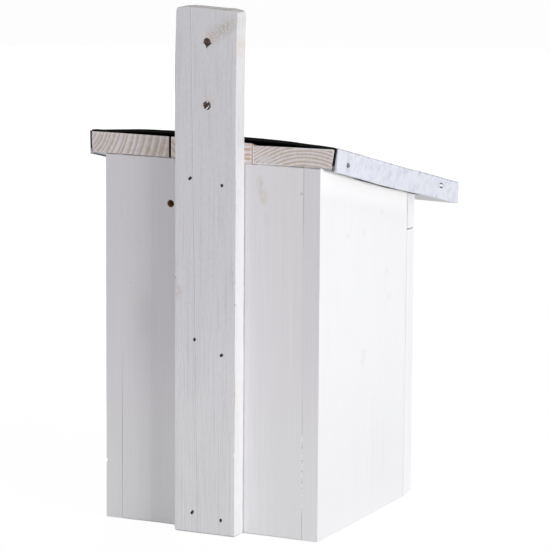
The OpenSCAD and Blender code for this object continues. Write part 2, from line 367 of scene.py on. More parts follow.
class Finish:
    """A material and its nodes, with the colour and the relief that it has so far."""

    def __init__(self, name):
        self.material = bpy.data.materials.new(name)
        self.material.use_nodes = True
        self.tree = self.material.node_tree
        self.tree.nodes.clear()
        place = self.node("TexCoord", out="Object")
        x = self.node("SeparateXYZ", sockets={0: place}, out="X")
        self.x, self.y, self.z = x / MM, x.sibling("Y") / MM, x.sibling("Z") / MM
        self.facing_x = self.node("SeparateXYZ", sockets={0: place.sibling("Normal")}, out="X")
        self.facing_y, self.facing_z = self.facing_x.sibling("Y"), self.facing_x.sibling("Z")
        self.colour = self.height = None

    def node(self, kind, settings=None, sockets=None, out=0):
        """Adds a node: its settings first, then the values or links of its sockets."""
        node = self.tree.nodes.new("ShaderNode" + kind)
        for key, value in (settings or {}).items():
            setattr(node, key, value)
        for key, value in (sockets or {}).items():
            if isinstance(value, Value):
                self.tree.links.new(value.socket, node.inputs[key])
            else:
                node.inputs[key].default_value = value
        return Value(self, node.outputs[out]) if node.outputs else node

    def maths(self, operation, *values):
        return self.node("Math", {"operation": operation}, dict(enumerate(values)))

    def point(self, x, y, z):
        return self.node("CombineXYZ", sockets={0: x, 1: y, 2: z})

    def noise(self, x, y, z, size, detail=2, rough=0.5):
        """Soft noise from 0 to 1 in patches of about the given size."""
        return self.node("TexNoise", sockets={
            "Vector": self.point(x, y, z), "Scale": 1 / size, "Detail": detail, "Roughness": rough})

    def cloud(self, size, detail=2, rough=0.5, x=1, y=1, z=1):
        """Noise over x, y and z, drawn out along those with a factor under 1."""
        places = ((self.x, x), (self.y, y), (self.z, z))
        return self.noise(*(at if by == 1 else by and at * by for at, by in places),
                          size, detail, rough)

    def patch(self, middle, radii, x=None, z=None):
        """A soft oval patch, 1 at its middle."""
        u = ((x or self.x) - middle[0]) / radii[0]
        v = ((z or self.z) - middle[1]) / radii[1]
        return self.maths("SQRT", u * u + v * v).ramp(1, 0)

    def mix(self, first, second, mask):
        """Goes from one colour to another as the mask goes from 0 to 1."""
        first, second = (linear(c) if isinstance(c, tuple) else c for c in (first, second))
        return self.node("Mix", {"data_type": "RGBA"}, {0: mask, 6: first, 7: second}, out=2)

    def stain(self, colour, mask):
        self.colour = self.mix(self.colour, colour, mask)

    def only_where(self, mask, marks):
        """Makes marks that change the colour only as far as the mask goes."""
        plain = self.colour
        marks(self)
        self.colour = self.mix(plain, self.colour, mask)

    def surface(self, roughness, **plain):
        sockets = {"Base Color": self.colour, "Roughness": roughness}
        sockets.update({key.replace("_", " "): value for key, value in plain.items()})
        sockets["Normal"] = self.node("Bump", sockets={
            "Height": self.height, "Distance": MM, "Strength": 1.0})
        self.node("OutputMaterial", sockets={
            "Surface": self.node("BsdfPrincipled", sockets=sockets)})
        return self.material


PAINT, PAINT_SHADE = (240, 240, 242), (214, 214, 218)
SPRUCE, SPRUCE_DARK = (224, 199, 160), (186, 143, 98)
WORN_WOOD = (166, 128, 100)
WHITE = (255, 255, 255)
JOINT_GREY, SHADOW_AND_JOINT_GREY = (120, 118, 120), (150, 148, 152)


def growth(f, across, deep, along, pith, ring, knots=(), widening=0.0, sway=7.0):
    """Latewood of a board, 0 to 1: rings round a pith that runs along it.
    Widening makes the outer rings broader."""
    waves = f.noise(across * 0.3, deep * 0.3, along * 0.12, 12)
    u, v = across - pith[0], deep - pith[1]
    radius = f.maths("SQRT", u * u + v * v) + (waves - 0.5) * sway
    for knot_across, knot_along, size in knots:
        radius = radius + ring * 3 * f.patch(
            (knot_across, knot_along), (size, size * 2.2), across, along)
    uneven = f.noise(radius, 0, 0, ring * 3.2, detail=1)
    rings = radius / ring
    if widening:
        rings = rings / (1 + radius * widening)
    part = f.maths("FRACT", rings + uneven * 1.5)
    return part.ramp(0.22, 0.8) * part.ramp(1.0, 0.86)


def fibre(f, across, deep, along):
    """Fine streaks along the grain, 0 to 1."""
    return f.noise(across, deep, along * 0.025, 0.8, detail=3, rough=0.6)


def bare_spruce(f, late, streaks):
    """Planed softwood's own colour."""
    tone = f.mix(SPRUCE, SPRUCE_DARK, late * 0.75)
    return f.mix(tone, SPRUCE_DARK, streaks.ramp(0.5, 0.8) * 0.25)


def painted(name, axes, pith, ring, show=0.06, knots=(), bare=None, end_axis=None, marks=None,
            relief=0.05):
    """White paint on a softwood board. axes gives the directions across, deep and along as
    letters, bare a mask of where no paint was put, and marks changes the colour and the relief."""
    f = Finish(name)
    across, deep, along = (getattr(f, a) for a in axes)
    late = growth(f, across, deep, along, pith, ring, knots)
    streaks = fibre(f, across, deep, along)
    wood = bare_spruce(f, late, streaks)
    blotch = f.cloud(26, 3, z=0.4)
    brush = f.noise(across, deep, along * 0.03, 2.6)
    shade = late * show + streaks.ramp(0.52, 0.78) * show * 0.8
    shade = shade + blotch.ramp(0.45, 0.75) * 0.05 + brush.ramp(0.5, 0.8) * 0.06
    f.colour = f.mix(PAINT, PAINT_SHADE, shade)
    f.height = late * -relief + streaks * (relief * 0.8) + brush * (relief * 0.8)
    if end_axis:
        end = abs(getattr(f, "facing_" + end_axis)).ramp(0.8, 0.95)
        f.stain(wood, end * (0.25 + late * 0.5))
    if marks:
        marks(f)
    if bare:
        f.stain(wood, bare(f))
    return f.surface(0.5 + blotch * 0.14)


# ---- Board finishes ----

def facing_left(f):
    return f.facing_x.ramp(-0.6, -0.9)


def facing_back(f):
    return f.facing_y.ramp(0.6, 0.9)


def at_back(f):
    """The last millimetre of a board before the back's face."""
    return f.y.ramp(BACK - 1, BACK - 0.3)


def roof_directions(f):
    """Distances down the fall and square to the boards, from the back edge of their underside."""
    cos, sin = math.cos(ROOF_SLOPE), math.sin(ROOF_SLOPE)
    y, z = f.y - BACK, f.z - BACK_TOP / MM
    return y * cos + z * sin, z * cos - y * sin


def edge_wear(f, low, high):
    """Where the paint has rubbed off a board's long edges, 0 to 1."""
    gap_x = f.maths("MINIMUM", abs(f.x - low.x), abs(f.x - high.x))
    gap_y = f.maths("MINIMUM", abs(f.y - low.y), abs(f.y - high.y))
    width = 1.1
    patches = f.cloud(5, 3, 0.65, x=0.4, y=0.4)
    return f.maths("MAXIMUM", gap_x, gap_y).ramp(width, width * 0.3) * patches.ramp(0.56, 0.66)


def shade_below_roof(f):
    """Painted shade on faces that look back: a lilac cast, darker towards the top, and a dark line
    under the roof.
    """
    square = roof_directions(f)[1]
    f.stain(f.mix((252, 250, 252), (252, 243, 252), f.z.ramp(0, 160)), 0.38)
    f.stain((206, 205, 208), f.z.ramp(20, 250) * 0.3)
    breaks = f.cloud(7, 3, y=0, z=0).ramp(0.35, 0.55) * 0.7 + 0.3
    f.stain((78, 70, 68), square.ramp(-0.6, 0.2) * breaks * 0.6)


def filled_joint_highlights(f):
    """Paint beads fill the back's left joint here and there near its foot, drawn whiter as a
    painted highlight of their lit side.
    """
    filled = f.noise(0, 4, f.z, 2.6).ramp(0.44, 0.52) * f.z.ramp(18, 24) * f.z.ramp(82, 76)
    f.stain(WHITE, abs(f.x - LEFT_JOINT).ramp(0.85, 0.55) * filled)


def joint_shown(f):
    """How far the left joint shows from the roof down."""
    return f.z.ramp(205, 240) * 0.6 + f.z.ramp(150, 215) * 0.14


def batten_marks(f):
    low, high = (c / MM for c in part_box("mounting_batten"))
    middle = BATTEN_X / MM
    # The paint is darker all over, most of all at the top, and its back face has a lilac cast of
    # painted shade.
    dull = f.z.ramp(60, 330) * 0.5 + 0.2
    tint = f.facing_y.ramp(0.5, 0.8)
    f.stain((248, 243, 253), tint * 0.35)
    f.stain((204, 203, 206), dull * 0.5)
    # Brushed and sanded grain shows through the paint.
    mottle = f.cloud(1.8, 4, 0.7, z=0.5)
    veins = f.cloud(2.6, 3, 0.6, z=0.05)
    f.stain((176, 174, 180), mottle.ramp(0.5, 0.75) * 0.14)
    f.stain((178, 176, 184), veins.ramp(0.5, 0.75) * 0.25)
    f.stain((252, 252, 252), mottle.ramp(0.48, 0.3) * 0.15)
    wander = (f.cloud(30, x=0.1, y=0, z=0.5) - 0.5) * 9
    lines = f.maths("FRACT", (f.x + wander) / 1.9 + f.cloud(5, 1, y=0, z=0.02))
    lines = lines.ramp(0.45, 0.8) * lines.ramp(1.0, 0.85) * veins.ramp(0.35, 0.55)
    lines = lines * f.z.ramp(220, 120)
    f.stain((196, 194, 198), lines * tint * 0.3)
    f.height = f.height + mottle * 0.04 + veins * 0.05 - lines * 0.012
    crack = (f.x + 3).near(0.2, 0.45) * f.z.ramp(311, 314) * f.z.ramp(334, 322)
    f.stain((140, 134, 138), crack * 0.22)
    # A fine check in the grain runs the whole height; the raised lip on one side of it is a painted
    # highlight.
    check = f.x - (3.2 + 0.017 * f.z) + (f.cloud(30, x=0, y=0) - 0.5) * 0.8
    f.stain((150, 146, 148), check.near(0.35, 0.32) * 0.55)
    f.stain((252, 252, 253), check.near(-0.4, 0.4) * 0.5)
    f.height = f.height - check.near(0.35, 0.35) * 0.12
    # Worn edges, mostly half way up and by the foot.
    worn = f.z.near(181, 22) + f.z.near(106, 18) * 0.4 + f.z.near(2, 12) + 0.12
    f.stain(WORN_WOOD, f.maths("MINIMUM", edge_wear(f, low, high) * worn, 0.75))
    orange = f.x.near(low.x, 0.9) * f.z.near(103, 22) * f.y.near(high.y, 1.2)
    f.stain((236, 212, 194), orange * 0.8)
    f.stain((208, 180, 172), f.patch((19.5, 176), (4.5, 10)) * mottle.ramp(0.4, 0.6) * 0.4)
    flecks = f.cloud(1.7, y=0).ramp(0.52, 0.6) * f.z.near(184, 18)
    f.stain((138, 134, 138), f.x.near(-24, 0.9) * flecks * tint * 0.6)
    # Painted light: its face is lighter towards the foot.
    f.stain(WHITE, f.z.ramp(200, 50) * tint * 0.3)
    # Painted shade: its left-facing side is a little darker.
    f.stain((214, 213, 210), facing_left(f) * 0.12)
    # Painted shade on the rounded edge of its right side, near the top.
    f.stain((140, 138, 140), f.x.near(high.x, 1.4) * f.z.ramp(300, 335) * 0.35)
    # Torn grain runs up and out from the upper hanging hole.
    along_streak = (f.x + 3.5) * -0.83 + (f.z - 355) * 0.56
    off_streak = (f.x + 3.5) * 0.56 + (f.z - 355) * 0.83
    torn = along_streak.ramp(-2, 3) * along_streak.ramp(34, 20) * off_streak.near(0.5, 8)
    ripple = f.noise(off_streak * 0.6, along_streak * 1.2, f.y, 1.1, detail=3, rough=0.75)
    f.stain((214, 207, 196), torn * 0.35)
    f.stain((170, 156, 142), torn * ripple.ramp(0.5, 0.6) * 0.6)
    f.height = f.height - torn * ripple * 0.2
    # The edge beside it is scuffed down to a pinkish wood.
    scuffed = abs(f.facing_x).ramp(0.6, 0.9) * f.z.near(352, 16)
    grime = f.cloud(3, 4, 0.7, z=0.5)
    f.stain((216, 200, 194), scuffed * grime.ramp(0.4, 0.65) * 0.7)
    chip = f.patch((-25.4, 60), (1.1, 1.6)) * f.y.near(high.y, 1)
    f.stain(WHITE, chip.ramp(0.1, 0.3) * 0.9)
    # Painted shadow: a thin grey line along its foot.
    f.stain((150, 148, 150), f.z.ramp(1.3, 0.4) * 0.5)
    # Bare wood inside the hanging holes, and on the sawn top.
    depth = f.y.ramp(high.y - 0.3, high.y - 0.8)
    for x, z in ((hole.x / MM, hole.z / MM) for hole in HANG_HOLES):
        f.stain((164, 138, 132), f.patch((x, z), (7.2, 7.2)).ramp(0.3, 0.4) * depth)
        f.stain((226, 206, 196), f.patch((x - 2.5, z + 3), (6, 5)) * 0.45)
    # Painted shade: the holes round the sunk nails are coloured near black.
    sunk = f.y.ramp(high.y - 0.2, high.y - 0.5)
    for x, z, _ in BATTEN_NAILS:
        around = f.patch((middle + x, z), (2.4, 2.7)).ramp(0.1, 0.3)
        f.stain((16, 14, 14), around * sunk)
    top = f.facing_z.ramp(0.5, 0.8)
    f.stain((88, 80, 76), top * (0.9 - f.x.ramp(low.x + 6, low.x) * 0.4))


def back_marks(f):
    shade_below_roof(f)
    # Yellowish knot and torn grain beside the batten.
    flaky = f.cloud(2.4, 4, 0.7, z=0.5)
    knot = f.patch((-38.2, 254), (4, 9)) + f.patch((-41, 245), (5, 9))
    knot = knot + f.patch((-42, 229), (4.5, 8)) * 0.2
    f.stain((206, 194, 176), knot * flaky.ramp(0.3, 0.58) * 0.65)
    # The left-hand joint shows from the roof down, with a nick in it.
    f.stain(JOINT_GREY, f.x.near(LEFT_JOINT, 0.45) * joint_shown(f) * 0.55)
    filled_joint_highlights(f)
    f.stain((110, 108, 112), f.patch((-70.6, 249.7), (2.2, 1.5)) * 0.5)
    # Painted shadow of the batten, with a soft edge half way out to the right.
    f.stain((214, 211, 216), f.x.ramp(49.6, 48) * f.x.ramp(20, 40) * 0.12)
    for middle, radii in (((-54, 232), (16, 9)), ((62, 214), (14, 30)), ((63, 178), (14, 16))):
        area = f.patch(middle, radii)
        ripple = f.cloud(2.2, 4, 0.7, x=0.5, z=1.5).ramp(0.48, 0.7)
        f.stain((214, 212, 212), area * ripple * 0.4)
        f.height = f.height - area * ripple * 0.05
    # Thin shadow lines: beside the batten and along the foot.
    f.stain(SHADOW_AND_JOINT_GREY, f.x.near(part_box("mounting_batten")[0].x / MM - 0.2, 1) * 0.55)
    f.stain(SHADOW_AND_JOINT_GREY, f.z.ramp(1.2, 0.3) * 0.45)
    grain = f.cloud(1.1, 3, 0.6, z=0.012)
    reach = f.x.ramp(-26, -34) * 0.45 + 0.35
    f.stain((252, 251, 253), grain.ramp(0.48, 0.3) * reach * 0.3)
    f.stain((204, 202, 208), grain.ramp(0.52, 0.72) * reach * 0.2)
    # Painted light: the back is lighter left of the batten.
    f.stain(WHITE, f.x.ramp(-30, -45) * 0.25)
    # Painted shade: darker patches right of the batten at mid height.
    f.stain((190, 187, 189), f.patch((53, 152), (15, 24)) * f.cloud(9, 3) * 0.25)
    f.stain((206, 204, 206), f.patch((54, 140), (20, 60)) * 0.2)
    # Painted light in the batten's shadow near the foot.
    f.stain(WHITE, f.x.near(26, 20) * f.z.ramp(150, 50) * 0.4)
    # Fibres inside the vent hole.
    inside = f.patch((VENT.x / MM, VENT.z / MM), (6, 6)).ramp(0.3, 0.42)
    f.stain((168, 140, 112), inside * f.y.ramp(BACK - 0.2, BACK - 1))


SIDE_KNOTS = (  # their middles and radii, in mm along y and z
    ((28.7, 120.8), (7, 9)), ((-2.6, 223.6), (4.5, 4)), ((29.4, 212.7), (4, 4)),
    ((-13.1, 177.6), (4.5, 4)), ((-17.4, 157.5), (4, 4)), ((57.5, 213.9), (3.5, 3)),
)


def side_marks(f):
    f.only_where(facing_back(f), shade_below_roof)
    for middle, radii in SIDE_KNOTS:
        spot = f.patch(middle, radii, f.y)
        ring = spot.near(0.45, 0.4)
        f.stain((212, 210, 210), ring * 0.14 + spot * 0.14)
        f.height = f.height + ring * 0.05
    f.stain((222, 222, 225), f.z.ramp(150, 0) * (1 - facing_back(f)) * 0.35)
    lines = f.cloud(1.4, z=0.02).ramp(0.45, 0.7)
    f.stain((222, 222, 226), f.patch((0, 52), (55, 60), f.y) * lines * 0.45)


def strip_foot_shade_line(f):
    """Painted shade: a dark brown line along the top of the left wall, under the strip's foot."""
    square = roof_directions(f)[1] + f.y.near(-8, 26) * 0.3
    line = square.ramp(-1.1, -0.7) * facing_left(f)
    f.stain((90, 64, 56), line * f.y.ramp(60, 34) * (1 - f.y.near(-37, 15) * 0.7))


def left_side_marks(f):
    side_marks(f)
    # Painted light: the back edge is lighter towards the foot.
    f.stain(WHITE, facing_back(f) * f.z.ramp(150, 30) * 0.3)
    # Painted light: the left face is whitened near the top, filling the shade under the overhang.
    f.stain(WHITE, roof_directions(f)[1].ramp(-22, -2) * facing_left(f) * 0.95)
    strip_foot_shade_line(f)
    # The arris shows bare wood, and the joint with the back lost its paint near the foot.
    arris = f.y.near(BACK, 0.9) * f.x.near(LEFT_FACE, 0.9)
    bare_run = f.z.near(190, 26) + f.z.near(100, 50) * 0.3 + f.z.near(235, 40) * 0.3
    f.stain((242, 212, 188), arris * bare_run * (f.cloud(3, 3).ramp(0.35, 0.6) * 0.5 + 0.3))
    joint = (f.x + f.z.ramp(110, 80) * 0.4).near(LEFT_JOINT - 0.1, 0.6) * at_back(f)
    f.stain(JOINT_GREY, joint * (joint_shown(f) + f.z.near(85, 60) * 0.4) * 0.55)
    f.stain((222, 186, 176), joint * f.z.ramp(26, 17) * 0.75)
    skips = f.cloud(1.6, x=0, y=0).ramp(0.5, 0.6) * f.z.near(52, 34)
    f.stain(SHADOW_AND_JOINT_GREY, joint * skips * 0.7)
    f.only_where(at_back(f), filled_joint_highlights)
    # The seam with the door is grey, and with the header it shows wood.
    seam = f.y.near(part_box("side_panel_left")[0].y / MM, 1.4)
    f.stain((158, 154, 160), seam * f.z.ramp(205, 198) * (f.z.ramp(0, 200) * 0.6 + 0.3))
    seam_wood = f.mix((196, 178, 174), (160, 112, 90), f.z.ramp(206, 224))
    f.stain(seam_wood, seam * f.z.ramp(198, 205) * 0.8)
    f.stain((120, 118, 122), f.patch((-49.5, 0.3), (2.2, 1.6), f.y) * 0.8)


def wall_finishes():
    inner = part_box("back_panel")
    side_in, back_in = inner[1].x / MM, inner[0].y / MM
    front_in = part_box("front_door")[1].y / MM

    def inner_face(f):
        """The header's and the door's faces between the side panels."""
        return f.y.ramp(front_in - 0.6, front_in - 0.2) * abs(f.x).ramp(71.5, 70.5)

    def side_face(side):
        """A side panel's face that looks into the box, in front of the back."""
        return lambda f: (f.x.ramp(side * (side_in + 0.6), side * (side_in + 0.2))
                          * f.y.ramp(back_in + 0.2, back_in - 0.2))

    return {
        "back": painted("paint_back", "xyz", (-140, 60), 4.4, show=0.03, relief=0.012,
                        end_axis="z", marks=back_marks,
                        bare=lambda f: f.y.ramp(back_in + 0.6, back_in + 0.2)),
        "left": painted("paint_left_side", "yxz", (150, -150), 3.4, show=0.04, relief=0.03,
                        end_axis="z", bare=side_face(LEFT), marks=left_side_marks),
        "right": painted("paint_right_side", "yxz", (-120, 140), 3.2, show=0.08, end_axis="z",
                         bare=side_face(RIGHT), marks=side_marks),
        "header": painted("paint_header", "zyx", (300, -20), 3.6, show=0.08, bare=inner_face,
                          marks=strip_foot_shade_line),
        "door": painted("paint_door", "xyz", (30, -160), 4.2, show=0.1, end_axis="z",
                        knots=((-48, 66, 7), (38, 118, 5)), bare=inner_face),
        "batten": painted("paint_batten", "xyz", (78, 96), 3.1, show=0.12, relief=0.025,
                          end_axis="z", marks=batten_marks),
    }


def roof_finish(node, name, pith, ring, widening, rim_paint):
    """White wash on a roof board, with the end grain showing through at its sawn ends."""
    f = Finish(name)
    low, high = (c.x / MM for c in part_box(node))
    down, square = roof_directions(f)
    late = growth(f, f.x, square, down, pith, ring, widening=widening, sway=3.5)
    wood = bare_spruce(f, late, fibre(f, f.x, square, down))
    fine = growth(f, f.x, square, down, pith, ring * 0.4, widening=widening, sway=3)
    wash = f.noise(f.x, square, down, 4, detail=4, rough=0.65)
    rays = f.noise(f.x, square, down, 1.3, detail=3, rough=0.7)
    f.colour = f.mix((240, 235, 240), (194, 170, 142), late * (0.3 + wash * 1.1))
    f.stain((204, 188, 172), fine * wash.ramp(0.4, 0.6) * 0.5)
    f.stain((224, 218, 224), rays.ramp(0.5, 0.7) * 0.6)
    f.stain((196, 168, 158), rays.ramp(0.42, 0.3) * 0.35)
    # Paint runs over the corners of the sawn ends.
    from_edge = f.maths("MINIMUM", f.maths("MINIMUM", f.x - low, high - f.x),
                        f.maths("MINIMUM", square, ROOF_T / MM - square))
    f.stain((250, 247, 248), (from_edge + (wash - 0.5) * 1.4).ramp(1.5, 0.7) * rim_paint)
    clean = f.patch((-42.5, 4), (9, 3.6), f.x, square)
    f.stain((228, 222, 226), clean.ramp(0.1, 0.5) * 0.75)
    end = abs(f.facing_y).ramp(0.75, 0.92)
    painted_tone = f.mix(PAINT, PAINT_SHADE, wash.ramp(0.4, 0.8) * 0.25 + late * 0.06)
    f.colour = f.mix(painted_tone, f.colour, end)
    rusty = end * f.x.near(-29, 9) * f.x.ramp(-32.4, -31.7)
    f.stain((200, 158, 126), rusty * (0.15 + late * 0.35))
    f.stain((140, 112, 100), end * f.x.near(-31.8, 0.6) * 0.85)
    # No paint reached the joints between the boards; the right-hand joint is coloured dark brown as
    # painted shade in the gap.
    joint = abs(f.facing_x).ramp(0.6, 0.9) * abs(f.x).ramp(60, 50)
    f.stain(f.mix((206, 176, 150), (96, 66, 46), f.x.ramp(-1, 1)), joint)
    # The underside of the left overhang is coloured near black as painted shade, and the front
    # overhang's underside is a little greyer.
    below = f.facing_z.ramp(-0.5, -0.8)
    shown = f.y.ramp(-66, -58) * (1 - f.y.ramp(80, 92) * 0.5)
    f.stain((38, 24, 20), below * f.x.ramp(-84.6, -85.4) * shown)
    f.stain((196, 194, 198), below * f.y.ramp(-60, -66) * 0.05)
    f.stain(wood, abs(f.x).ramp(72.6, 71.6) * f.y.ramp(-50.5, -49) * f.y.ramp(92.6, 92))
    f.height = late * (0.03 + end * 0.08) + wash * 0.08
    return f.surface(0.6 + wash * 0.15)


# ---- Finishes of the felt, the metal and the floor ----

def felt_finish():
    f = Finish("mineral_felt")
    grains = f.node("TexVoronoi", {"feature": "F1"}, {
        "Vector": f.point(f.x, f.y, f.z), "Scale": 1 / 0.9}, out="Distance")
    tint = f.node("SeparateColor", sockets={0: grains.sibling("Color")})
    worn = f.cloud(30, 4, 0.6)
    f.colour = f.mix((20, 22, 19), (52, 57, 50), tint * worn.ramp(0.35, 0.7))
    f.stain((88, 92, 84), tint.sibling("Green").ramp(0.93, 0.97) * 0.6)
    # The cut ends and flaps show the bitumen.
    ends, flaps = abs(f.facing_y).ramp(0.6, 0.85), abs(f.facing_x).ramp(0.6, 0.85)
    f.stain((5, 4, 4), f.maths("MAXIMUM", ends, flaps))
    wad = f.x.ramp(-93.4, -94.2) * f.y.ramp(BACK - 4, BACK - 2)
    f.stain((112, 112, 114), wad * roof_directions(f)[1].ramp(3.4, 2.4))
    f.height = (1 - grains) * 0.35 + worn * 0.3
    return f.surface(0.8 + worn * 0.15, Specular_IOR_Level=0.2)


def nail_head_rings(f):
    """A dark ring round a strip nail, which lies on the rim of its head where the head is wide."""
    down, square = roof_directions(f)
    for i, (nail_down, nail_square) in enumerate(CLOUTS):
        u, v = (down + nail_down / MM) * (0.62 - 0.1 * i), square - nail_square / MM
        ring = f.maths("SQRT", u * u + v * v).near(1.45, 0.8).ramp(0, 0.5 - 0.1 * i)
        gaps = f.noise(f.y, f.x, f.z, 1.6 + i, detail=1) + 0.2 * i
        wiped = u.ramp(0.2, 0.8) * abs(v).ramp(1.2, 0.7) * i
        f.stain((66, 60, 62), ring * gaps.ramp(0.34, 0.46) * (1 - wiped) * 0.9)


def zinc_finish():
    """Weathered zinc: pale blue-grey and clouded, with faint stains that run down it."""
    f = Finish("dull_zinc")
    down, square = roof_directions(f)
    cloud = f.noise(f.y, f.x, f.z, 8, detail=5, rough=0.7)
    runs = f.noise(f.y, f.x, f.z * 0.2, 2.4, detail=4, rough=0.6)
    speckle = f.noise(f.y, f.x, f.z, 0.9, detail=3, rough=0.7)
    f.colour = f.mix((222, 224, 234), (198, 201, 212), cloud.ramp(0.42, 0.76))
    f.stain((190, 191, 201), runs.ramp(0.55, 0.75) * cloud.ramp(0.4, 0.6) * 0.15)
    f.stain((240, 241, 248), speckle.ramp(0.5, 0.75) * 0.4)
    # A painted shade line runs along its cut top edge, darker in places, and dark rings are drawn
    # round the nails.
    below_top = STRIP_TOP[0] / MM + down * ((STRIP_TOP[0] - STRIP_TOP[1]) / ROOF_RUN) - square
    f.stain((164, 164, 172), below_top.ramp(1.1, 0.3) * (0.35 + cloud * 0.6))
    darker_runs = f.noise(f.y, 0, 0, 6).ramp(0.52, 0.62) * below_top.ramp(1.9, 0.9)
    f.stain((128, 128, 134), darker_runs * speckle.ramp(0.35, 0.55) * 0.6)
    nail_head_rings(f)
    # The right strip's back end is darkened, and the foot of its inner face is darkened as painted
    # shade.
    foot = f.facing_x.ramp(-0.4, -0.7) * square.ramp(0.1, -0.1)
    f.stain((70, 70, 74), f.maths("MAXIMUM", f.facing_y.ramp(0.7, 0.9), foot) * f.x.ramp(0, 1))
    f.height = cloud * 0.06 + speckle * 0.02
    return f.surface(0.5 + cloud * 0.2, Metallic=0.4)


def plate_finish():
    f = Finish("zinc_plate")
    haze = f.cloud(3.5, 4, 0.6)
    f.colour = f.mix((204, 205, 203), (178, 176, 166), haze)
    f.height = f.cloud(1.2, x=0.2, z=2.5) * 0.03
    return f.surface(0.28 + haze * 0.22, Metallic=0.95)


def nail_finish(name, light, dark, metallic=0.8, marks=None):
    f = Finish(name)
    crust = f.cloud(0.9, 4, 0.7)
    f.colour = f.mix(light, dark, crust.ramp(0.4, 0.65))
    f.stain((116, 112, 118), f.y.ramp(60, 80) * 0.85)
    if marks:
        marks(f)
    f.height = crust * 0.12
    return f.surface(0.4 + crust * 0.3, Metallic=metallic)


def floor_finish():
    f = Finish("bare_floor")
    late = growth(f, f.y, f.z, f.x, (20, -40), 4)
    streaks = fibre(f, f.y, f.z, f.x)
    f.colour = bare_spruce(f, late, streaks)
    stain = f.cloud(22, 4)
    f.stain((160, 128, 92), stain.ramp(0.5, 0.75) * 0.4)
    f.stain(PAINT, f.facing_z.ramp(-0.6, -0.8) * stain.ramp(0.62, 0.5) * 0.8)
    f.height = late * -0.04 + streaks * 0.05
    return f.surface(0.62)


# ---- Pieces ----

def settle(piece, finish, node, body="box"):
    """Gives a finished piece its finish and its body, and hides the part of model.glb that it
    stands for.
    """
    piece.data.materials.clear()
    piece.data.materials.append(finish)
    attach(piece, body)
    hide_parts(node)


def roof_cut(piece, rise=0):
    """Cuts a wall board off along the underside of the roof."""
    trim(piece, (0, BACK_Y, BACK_TOP + rise * MM),
         (0, -math.sin(ROOF_SLOPE), math.cos(ROOF_SLOPE)))


def at_seam(p, n):
    """The upright edges where the back meets the sides, which paint has filled."""
    return abs(n.z) > 0.9 and p.y > BACK_Y - TINY and abs(p.x) < 75 * MM


def wall_block(name, node):
    """A wall board that is still too high, for the roof to cut off."""
    low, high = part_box(node)
    return block(name, low, high + mm(0, 0, 20))


def make_side_panel(side, finish):
    name = "side_panel_" + WORD[side]
    piece = wall_block(name + "_board", name)
    roof_cut(piece, 0.8 if side == LEFT else 0.4)
    ease(piece, 0.5, spare=at_seam)
    if side == RIGHT:
        # A chip is out of its back arris, low down.
        corner = Vector((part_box(name)[1].x, BACK_Y, 42.5 * MM))
        low_end = corner + mm(0.2, 0, -1.2)
        sight = mm(1.5, -3.2, -0.6)
        carve(piece,
              bar("notch", corner - sight * 1.2, corner + sight * 1.4, 1.15, sides=7),
              bar("notch_end", low_end - sight, low_end + sight, 0.7, sides=6))
    weather(piece, 34, 0.35, y=8, z=8)
    settle(piece, finish, name)


def make_back_panel(finish):
    piece = wall_block("back_board", "back_panel")
    roof_cut(piece, 0.4)
    vent = bar("vent", VENT + Vector((0, BACK_Y - 30 * MM, 0)),
               VENT + Vector((0, BACK_Y + 5 * MM, 0)), VENT_R, sides=20)
    with editing(vent):
        roughen(0.2, 3)
    ease(piece, 0.45, spare=at_seam)
    carve(piece, vent)
    divide(piece, x=8, z=8)
    seam_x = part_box("back_panel")[1].x
    open_below = 168
    with editing(piece):
        # The right-hand joint opens a little towards the foot.
        for height in range(0, open_below, 8):
            opening = 0.34 * min(1, (open_below - height) / 90)
            move(lambda p: p.x > seam_x - 0.6 * MM and abs(p.z - height * MM) < 4.2 * MM,
                 (-opening, 0, 0))
    make_uneven(piece, 34, 0.35)
    smooth(piece)
    settle(piece, finish, "back_panel")


def make_header(finish):
    piece = wall_block("header_board", "front_header")
    roof_cut(piece)
    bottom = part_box("front_header")[0].z
    with editing(piece):
        # It comes down close over the door.
        move(lambda p: p.z < bottom + TINY, (0, 0, -0.35))
    ease(piece, 0.5)
    weather(piece, 30, 0.3, x=8)
    settle(piece, finish, "front_header")


def make_door(finish):
    low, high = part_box("front_door")
    piece = block("door_board", low, high)
    carve(piece, bar("entrance", (0, low.y - MM, ENTRANCE_Z), (0, high.y + MM, ENTRANCE_Z),
                     ENTRANCE_R, sides=64))
    ease(piece, 0.9, segments=3)
    weather(piece, 36, 0.3, x=9, z=9)
    settle(piece, finish, "front_door", body="door")


def make_floor(finish):
    low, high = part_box("floor_panel")
    piece = block("floor_board", low, high)
    drain_leg = 11 * MM
    for side_x in (LEFT, RIGHT):
        for corner_y, side_y in ((low.y, -1), (high.y, 1)):
            trim(piece, (side_x * (high.x - drain_leg), corner_y, 0), (side_x, side_y, 0))
    ease(piece, 0.5)
    weather(piece, 30, 0.3, x=12, y=12)
    settle(piece, finish, "floor_panel")


